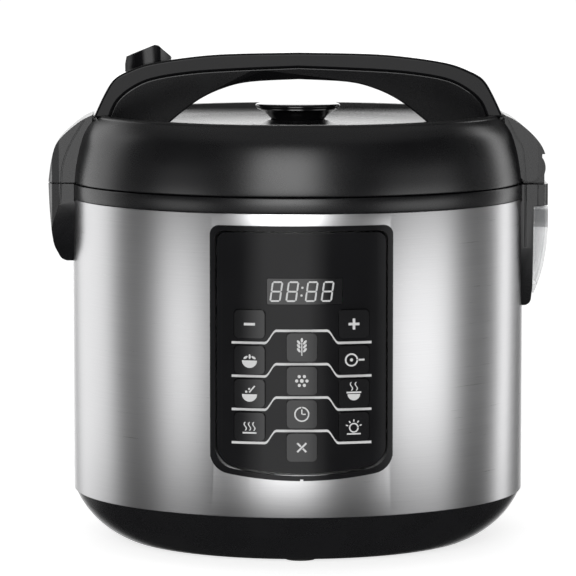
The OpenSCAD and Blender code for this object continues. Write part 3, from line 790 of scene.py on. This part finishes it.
def panel_opening():
    """The cut-out in the steel for the key panel: straight sides, round corners and a sagging foot."""
    half, top, foot = 42.2, 166.9, 47.1
    side = foot + 12
    lower = [(-half, side), (-half + 3.4, foot + 6.6), (-half + 9, foot + 3.2), (-20, foot + 0.9), (0, foot),
             (20, foot + 0.9), (half - 9, foot + 3.2), (half - 3.4, foot + 6.6), (half, side)]
    corners = arc((half - 4.5, top - 4.5), 4.5, 0, 90, 8) + arc((-half + 4.5, top - 4.5), 4.5, 90, 180, 8)
    return [p * MM for p in smooth_line(lower, 3) + corners]


class COOKER_OT_sleeve(bpy.types.Operator):
    """Spins the brushed steel sleeve with its rolled edges and cuts the panel opening"""

    bl_idname = "cooker.sleeve"
    bl_label = "Steel sleeve"

    def execute(self, context):
        foot, top = BASE_TOP / MM, SLEEVE_TOP / MM
        outer, inner = BODY_R / MM, BODY_R / MM - SLEEVE_WALL
        profile = points_mm((inner, foot), (outer - 0.3, foot), (outer - 0.08, foot + 0.1),
                            (outer, foot + 0.35), (outer, top - 0.35), (outer - 0.08, top - 0.1),
                            (outer - 0.3, top), (inner, top))
        sleeve = lathe("steel_sleeve", profile, sizes().sleeve_steps)
        carve(sleeve, slab("opening", panel_opening(), -130 * MM, -60 * MM))
        close_piece(sleeve, 30)
        dress(sleeve, "cooker_body", finish("steel", brushed_sleeve))
        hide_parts("outer_shell")
        return {"FINISHED"}


class COOKER_OT_base(bpy.types.Operator):
    """Rounds the plastic base bowl and its feet"""

    bl_idname = "cooker.base"
    bl_label = "Base and feet"

    def execute(self, context):
        bowl_piece = copy_of("base_housing", "base_bowl", 0.25 * MM)
        dress(bowl_piece, "cooker_body", satin())
        feet = copy_of("foot_pads", "rubber_feet", 0.4 * MM)
        dress(feet, "cooker_body",
              finish("rubber", rubbery, "foot_rubber", (0.012,) * 3, (0.03,) * 3, 0.65))
        return {"FINISHED"}


class COOKER_OT_collar(bpy.types.Operator):
    """Spins the black collar between the sleeve and the lid"""

    bl_idname = "cooker.collar"
    bl_label = "Rim collar"

    def execute(self, context):
        out, top, seat = COLLAR_R / MM, COLLAR_TOP / MM, SLEEVE_TOP / MM
        profile = points_mm((104.4, top), (out - 0.8, top), (out - 0.25, top - 0.2), (out, top - 0.7),
                            (out, seat + 0.6), (out - 0.15, seat + 0.2), (out - 0.5, seat), (out - 1.5, seat),
                            (out - 1.5, seat - 6), (out - 3.5, seat - 6), (out - 3.5, seat),
                            (101.8, seat + 1), (101.8, seat + 3.2), (104.4, seat + 3.2))
        collar = lathe("collar_ring", profile, ROUND_STEPS)
        dress(collar, "cooker_body", satin())
        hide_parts("rim_collar")
        return {"FINISHED"}


class COOKER_OT_columns(bpy.types.Operator):
    """Rounds the latch column, the hinge column and the covers above them"""

    bl_idname = "cooker.columns"
    bl_label = "Side columns"

    def execute(self, context):
        for node, body in (("latch_column", "cooker_body"), ("hinge_column", "cooker_body"),
                           ("latch_cover", "lid"), ("hinge_cover", "lid")):
            piece = copy_of(node, node + "_moulding", sizes().round_edge)
            dress(piece, body, satin())
        return {"FINISHED"}


class COOKER_OT_cup(bpy.types.Operator):
    """Makes the clear condensation cup with its grip ribs"""

    bl_idname = "cooker.cup"
    bl_label = "Condensation cup"

    def execute(self, context):
        cup = copy_of("condensation_cup", "clear_cup", 0.35 * MM)
        out = BRACKET_OUT / MM
        for height, depth in ((143, 2.2), (137, 3.4), (131, 5.2)):
            rib = block("rib", out - depth - 0.4, out - depth + 0.6, height - 0.5, height + 0.5, 9)
            carve(cup, soften(rib, 0.3 * MM, 2), "UNION")
        close_piece(cup, 30)
        dress(cup, "cup", finish("clear", clear_cup))
        return {"FINISHED"}


# ---------------------------------------------------------------- the lid


class COOKER_OT_lid(bpy.types.Operator):
    """Spins the domed lid and opens it for the vent, the hinge knuckle, the latch and the button"""

    bl_idname = "cooker.lid"
    bl_label = "Lid dome"

    def execute(self, context):
        dish = DISH / MM
        under = points_mm((16.1, dish), (16.1, dish - 2.6), (78, dish - 2.6), (90, 211.8), (98, 214.4),
                          (102, 213), (107, 208), (110, 200), (111.8, 190), (112.5, LID_BOTTOM / MM))
        dome = lathe("lid_dome", lid_outer() + under, ROUND_STEPS)
        knuckle = slab("knuckle", [p * MM for p in disc(HINGE_AXIS.x / MM, HINGE_AXIS.z / MM, 9.2, 48)],
                       -13.4 * MM, 13.4 * MM)
        carve(dome, knuckle)
        carve(dome, block("hook_slot", -119, -106, 194, 206.6, 9.5))
        carve(dome, block("stem_slot", *STEM_SLOT, 205, 230, STEM_HALF_W))
        close_piece(dome, 30)
        dress(dome, "lid", satin())
        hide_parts("lid_shell")
        return {"FINISHED"}


class COOKER_OT_vent(bpy.types.Operator):
    """Spins the steam vent's seat and its lift-off cap and drills the steam holes"""

    bl_idname = "cooker.vent"
    bl_label = "Steam vent"

    def execute(self, context):
        dish, top, r = DISH / MM, VENT_TOP / MM, VENT_R / MM
        crest = dish + SEAT_RISE
        foot = smooth_line([(23, dish + 0.15), (19.5, dish + 0.6), (16.8, dish + 1.4), (15.2, crest)], 4)
        ring = points_mm((14, 183.8), (16, 183.8), (16, dish + 0.05), (23, dish + 0.05))
        seat = lathe("vent_ring", ring + [p * MM for p in foot] + points_mm((14, crest)), COARSE_STEPS)
        dress(seat, "lid", satin())
        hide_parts("vent_seat")
        neck = dish + 1.1
        flare = smooth_line([(r - 0.5, top - 3.4), (r - 4, top - 5), (r - 7.4, top - 8), (r - 9, neck)], 4)
        rim = arc((r - 1.1, top - 1.9), 1.1, 80, -60, 8)
        profile = [Vector((0, top)), Vector((10, top - 0.1)), Vector((r - 2.4, top - 0.6))] + rim + flare
        bore = ((11, neck), (11, 196), (9.4, 196), (9.4, top - 2.6), (0, top - 2.2))
        profile += [Vector(p) for p in bore]
        cap = lathe("vent_lid", [p * MM for p in profile], COARSE_STEPS, closed=False)
        for x in (-STEAM_HOLE_PITCH, 0, STEAM_HOLE_PITCH):
            carve(cap, upright_rod("steam_hole", x, 0, top - 6, top + 3, STEAM_HOLE_R))
        close_piece(cap, 35)
        dress(cap, "vent", gloss())
        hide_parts("vent_cap")
        return {"FINISHED"}


def button_room():
    """The pocket in the handle that the release button slides in."""
    x = BUTTON_X / MM
    return block("button_room", x - 11.9, x + 11.9, 234, 274, 9.3)


class COOKER_OT_handle(bpy.types.Operator):
    """Extrudes the handle's glossy upper band and the grip that slopes inwards below it"""

    bl_idname = "cooker.handle"
    bl_label = "Handle"

    def execute(self, context):
        outer, crease, under = handle_lines()
        half, grip_half = HANDLE_HALF_W, HANDLE_HALF_W - GRIP_INSET * MM
        top_band = slab("handle_band", mirrored(outer) + mirrored(crease)[::-1], -half, half)
        soften(top_band, sizes().handle_edge, 4, 50)
        grip = slab("handle_grip_inset", mirrored(crease) + mirrored(under)[::-1], -grip_half, grip_half)

        def on_underside(co):
            return any((Vector((abs(co.x), co.z)) - p).length < SAME_POINT for p in under)

        narrow(grip, GRIP_FOOT_SHARE, on_underside)
        soften(grip, 0.8 * MM, 3, 50)
        for piece in (top_band, grip):
            carve(piece, lid_block("lid_room"))
            carve(piece, button_room())
            close_piece(piece, 35)
        carve(grip, block("stem_room", *STEM_SLOT, 200, 240, STEM_HALF_W))
        close_piece(grip, 35)
        dress(top_band, "lid", deep_gloss())
        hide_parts("handle_top")
        dress(grip, "lid", satin())
        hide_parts("handle_grip")
        return {"FINISHED"}


class COOKER_OT_button(bpy.types.Operator):
    """Makes the release button with its stem and push arm"""

    bl_idname = "cooker.button"
    bl_label = "Release button"

    def execute(self, context):
        button = copy_of("release_button", "release_key")
        front = low("release_button").y / MM
        for side in (-1, 1):
            scoop = upright_rod("scoop", BUTTON_X / MM, side * (15 - front), 239, 256, 16.4, COARSE_STEPS)
            carve(button, scoop)
        soften(button, 0.5 * MM, 3, 40)
        dress(button, "button", deep_gloss())
        return {"FINISHED"}


# ---------------------------------------------------------------- the key panel


class COOKER_OT_panel(bpy.types.Operator):
    """Rounds the bezel and the twelve key caps and carries over the fascia and the window"""

    bl_idname = "cooker.panel"
    bl_label = "Panel and keys"

    def execute(self, context):
        bezel = copy_of("panel_bezel", "bezel_ring", 0.3 * MM)
        dress(bezel, "cooker_body", deep_gloss())
        fascia = copy_of("panel_fascia", "fascia")
        dress(fascia, "cooker_body", deep_gloss())
        window = copy_of("display_window", "window")
        dress(window, "cooker_body",
              finish("smoked", black_plastic, "smoked_window", 0.08, 0.02, 0.6))
        for node in sorted(KEY_SIGNS):
            key = copy_of(node, node + "_cap", sizes().key_edge, 3)
            dress(key, node, gloss())
        return {"FINISHED"}


class COOKER_OT_signs(bpy.types.Operator):
    """Prints a sign on each key"""

    bl_idname = "cooker.signs"
    bl_label = "Key signs"

    def execute(self, context):
        ink = finish("ink", print_ink, "sign_ink", 0.62)
        for node, outlines in KEY_SIGNS.items():
            centre = middle(node)
            sign = raised_print(node + "_sign", outlines, (centre.x, centre.z), KEY_FACE_R,
                                sizes().print_height)
            dress(sign, node, ink)
        return {"FINISHED"}


SEGMENTS = {"a": (0, 2), "b": (1, 1), "c": (1, -1), "d": (0, -2), "e": (-1, -1), "f": (-1, 1), "g": (0, 0)}
STROKE_SHARE = 0.09


def digit_segments(x, height):
    """Seven slanted strokes with pointed ends, for one digit."""
    half_w, half_h, stroke, slant = height * 0.25, height / 2, height * STROKE_SHARE, 0.14
    strokes = []
    for column, row in SEGMENTS.values():
        if column:
            cx, cz, dx, dz = column * half_w, row * half_h / 2, 0, half_h / 2 - stroke * 0.62
        else:
            cx, cz, dx, dz = 0, row * half_h / 2, half_w - stroke * 0.62, 0
        along = Vector((1, 0)) if dx else Vector((0, 1))
        side = Vector((-along.y, along.x)) * stroke / 2
        reach = along * max(dx, dz)
        point = along * stroke * 0.5
        c = Vector((cx, cz))
        shape = [c + reach + side, c + reach + point, c + reach - side, c - reach - side,
                 c - reach - point, c - reach + side]
        strokes.append([Vector((x + p.x + slant * p.y, p.y)) for p in shape])
    return strokes


class COOKER_OT_display(bpy.types.Operator):
    """Lights the four digits and the colon on the window"""

    bl_idname = "cooker.display"
    bl_label = "Display digits"

    def execute(self, context):
        height = sizes().digit_height / MM / (1 + STROKE_SHARE)
        shapes = []
        for x in (-12.2, -4.4, 5.0, 12.8):
            shapes += digit_segments(x, height)
        shapes += [disc(0.5, 1.9, 0.6, 10), disc(0.1, -1.9, 0.6, 10)]
        centre = middle("display_window")
        digits = raised_print("display_digits", shapes, (centre.x - 1.6 * MM, centre.z), FASCIA_R,
                              sizes().print_height)
        dress(digits, "cooker_body",
              finish("digits", print_ink, "digit_ink", looks().display_ink, 0.15))
        return {"FINISHED"}


# ---------------------------------------------------------------- what the frame already shapes


class COOKER_OT_inside(bpy.types.Operator):
    """Gives the pot, the heater, the boards and the small hardware their finishes"""

    bl_idname = "cooker.inside"
    bl_label = "Inner parts"

    def execute(self, context):
        plated = finish("plated", plated_steel)
        boards = finish("boards", circuit_board)
        casings = finish("parts", moulded, "board_part_casings", (0.06,) * 3, (0.3, 0.3, 0.28))
        keep = {
            "inner_pot": finish("pot", nonstick),
            "inner_liner": finish("liner", spun_aluminium, "liner_sheet", 0.62, 0.36),
            "heating_plate": finish("cast", spun_aluminium, "heater_casting", 0.5, 0.44),
            "inner_lid_plate": finish("lid_plate", spun_aluminium, "lid_plate_sheet", 0.7, 0.26),
            "sensor_cap": finish("cap", spun_aluminium, "sensor_cap_metal", 0.68, 0.28),
            "heating_element": finish("element", moulded, "element_sheath", (0.10,) * 3, (0.2,) * 3,
                                      0.5, 1.0),
            "lid_gasket": finish("gasket", rubbery, "gasket_silicone", (0.22,) * 3, (0.34,) * 3, 0.45),
            "keep_warm_band": finish("band", moulded, "band_brass", (0.5, 0.36, 0.14),
                                     (0.7, 0.52, 0.22), 0.35, 1.0),
            "sensor_holder": finish("holder", moulded, "holder_bakelite", (0.34, 0.28, 0.18),
                                    (0.48, 0.4, 0.28)),
            "thermal_fuse": finish("fuse", moulded, "fuse_ceramic", (0.68,) * 3, (0.8, 0.8, 0.77), 0.3),
            "power_board_parts": casings,
            "key_switches": casings,
            "panel_lines": finish("ink", print_ink, "sign_ink", 0.62),
            "led_display": finish("module", moulded, "display_module", (0.02,) * 3, (0.04,) * 3, 0.5),
            "power_board": boards,
            "control_board": boards,
        }
        for node in ("base_screws", "board_screws", "handle_screws", "inlet_pins", "latch_strike",
                     "latch_hook", "latch_pin", "hinge_pin", "hinge_spring", "button_spring",
                     "sensor_spring"):
            keep[node] = plated
        for node in ("power_inlet", "panel_housing", "lid_liner"):
            keep[node] = satin()
        for node, material in keep.items():
            keep_node(node, material)
        return {"FINISHED"}


# ---------------------------------------------------------------- stage


BACKDROP_WHITE = 1.05
FLOOR_R = 0.42
FLOOR_GLOW = 0.75
CAMERA_PLACE = (-0.0378, -2.208, 0.348)
CAMERA_AIM = (-0.005, 0, 0.1278)
CAMERA_LENS = 270.0
CAMERA_FILM = 36.0
CAMERA_REACH = 50.0


def surroundings():
    """Soft studio light in upright bands round the cooker, plain white to the eye."""
    world = bpy.data.worlds.new("studio")
    world.use_nodes = True
    tree = world.node_tree
    tree.nodes.clear()

    def node(kind):
        return tree.nodes.new("ShaderNode" + kind)

    direction = node("TexCoord")
    parts = node("SeparateXYZ")
    tree.links.new(direction.outputs["Generated"], parts.inputs[0])
    x, y, z = (Value(tree, out) for out in parts.outputs)
    bearing = x.angle_to(y * -1.0) * (180 / math.pi)

    def lamp(centre, reach, strength, soft=1.0):
        """A band of light at a bearing in degrees from the front, positive to the right."""
        return ((1.0 - (bearing - centre).absolute() * (1.0 / reach)) * soft).clamped() * strength

    above_floor = ((z + 0.42) * 5.0).clamped()
    below_lofts = ((0.62 - z) * 5.0).clamped()
    level = ((0.22 - z) * 7.0).clamped() * above_floor
    raised = ((z + 0.02) * 7.0).clamped()
    walls = (lamp(-62, 19, 1.45, 1.6) + lamp(64, 26, 1.7, 2.2) + 0.12) * level
    rims = (lamp(-131, 28, 1.2, 2.5) + lamp(130, 10, 2.0, 1.6)) * above_floor * below_lofts
    softbox = lamp(-7, 22, 1.0, 2.0) * (raised * 3.3 + 1.8) * above_floor * below_lofts
    behind = ((bearing.absolute() - 160.0) * 0.1).clamped() * ((0.5 - z) * 5.0).clamped() * above_floor * 1.9
    ceiling = ((z - 0.6) * 4.0).clamped() * 0.32
    strength = walls + rims + softbox + behind + ceiling + 0.02
    seen = node("Background")
    seen.inputs[0].default_value = (1, 1, 1, 1)
    seen.inputs[1].default_value = BACKDROP_WHITE
    light = node("Background")
    light.inputs[0].default_value = (1, 1, 1, 1)
    tree.links.new(strength.socket, light.inputs[1])
    path, mix, output = node("LightPath"), node("MixShader"), node("OutputWorld")
    tree.links.new(path.outputs["Is Camera Ray"], mix.inputs[0])
    tree.links.new(light.outputs[0], mix.inputs[1])
    tree.links.new(seen.outputs[0], mix.inputs[2])
    tree.links.new(mix.outputs[0], output.inputs[0])
    return world


class COOKER_OT_stage(bpy.types.Operator):
    """Sets the floor, the soft studio light and the camera"""

    bl_idname = "cooker.stage"
    bl_label = "Stage"

    def execute(self, context):
        deselect()
        bpy.ops.mesh.primitive_circle_add(vertices=COARSE_STEPS, radius=FLOOR_R, fill_type="NGON",
                                          location=(0, 0, 0))
        floor = context.active_object
        floor.name = floor.data.name = "floor"
        surface = Finish("floor_paper", roughness=0.9, specular_ior_level=0.1)
        surface.shader.inputs["Base Color"].default_value = (*looks().floor_colour, 1)
        surface.shader.inputs["Emission Color"].default_value = (1, 1, 1, 1)
        surface.shader.inputs["Emission Strength"].default_value = FLOOR_GLOW
        floor.data.materials.append(surface.material)
        floor.visible_glossy = False
        context.scene.world = surroundings()
        context.scene.view_settings.view_transform = "Standard"
        camera = bpy.data.cameras.new("camera")
        camera.lens = CAMERA_LENS
        camera.sensor_width = CAMERA_FILM
        camera.clip_end = CAMERA_REACH
        viewer = bpy.data.objects.new("camera", camera)
        context.scene.collection.objects.link(viewer)
        viewer.location = CAMERA_PLACE
        aim = Vector(CAMERA_AIM) - viewer.location
        viewer.rotation_euler = aim.to_track_quat("-Z", "Y").to_euler()
        context.scene.camera = viewer
        return {"FINISHED"}


# ---------------------------------------------------------------- panel and running order


STEPS = [COOKER_OT_sleeve, COOKER_OT_base, COOKER_OT_collar, COOKER_OT_columns, COOKER_OT_cup,
         COOKER_OT_lid, COOKER_OT_vent, COOKER_OT_handle, COOKER_OT_button, COOKER_OT_panel,
         COOKER_OT_signs, COOKER_OT_display, COOKER_OT_inside, COOKER_OT_stage]


class COOKER_PT_pieces(bpy.types.Panel):
    """Lists the cooker's building steps and their settings"""

    bl_label = "Rice Cooker"
    bl_space_type = "VIEW_3D"
    bl_region_type = "UI"
    bl_category = "Rice Cooker"

    def draw(self, context):
        for group in (sizes(), looks()):
            for name in group.__annotations__:
                self.layout.prop(group, name)
        for step in STEPS:
            self.layout.operator(step.bl_idname)


CLASSES = [CookerSizes, CookerLooks, *STEPS, COOKER_PT_pieces]


def register():
    for cls in CLASSES:
        bpy.utils.register_class(cls)
    bpy.types.Scene.rice_cooker_sizes = PointerProperty(type=CookerSizes)
    bpy.types.Scene.rice_cooker_looks = PointerProperty(type=CookerLooks)


def unregister():
    del bpy.types.Scene.rice_cooker_looks
    del bpy.types.Scene.rice_cooker_sizes
    for cls in reversed(CLASSES):
        bpy.utils.unregister_class(cls)


def main():
    register()
    for step in STEPS:
        getattr(bpy.ops.cooker, step.bl_idname.split(".")[1])()


if __name__ == "__main__":
    main()
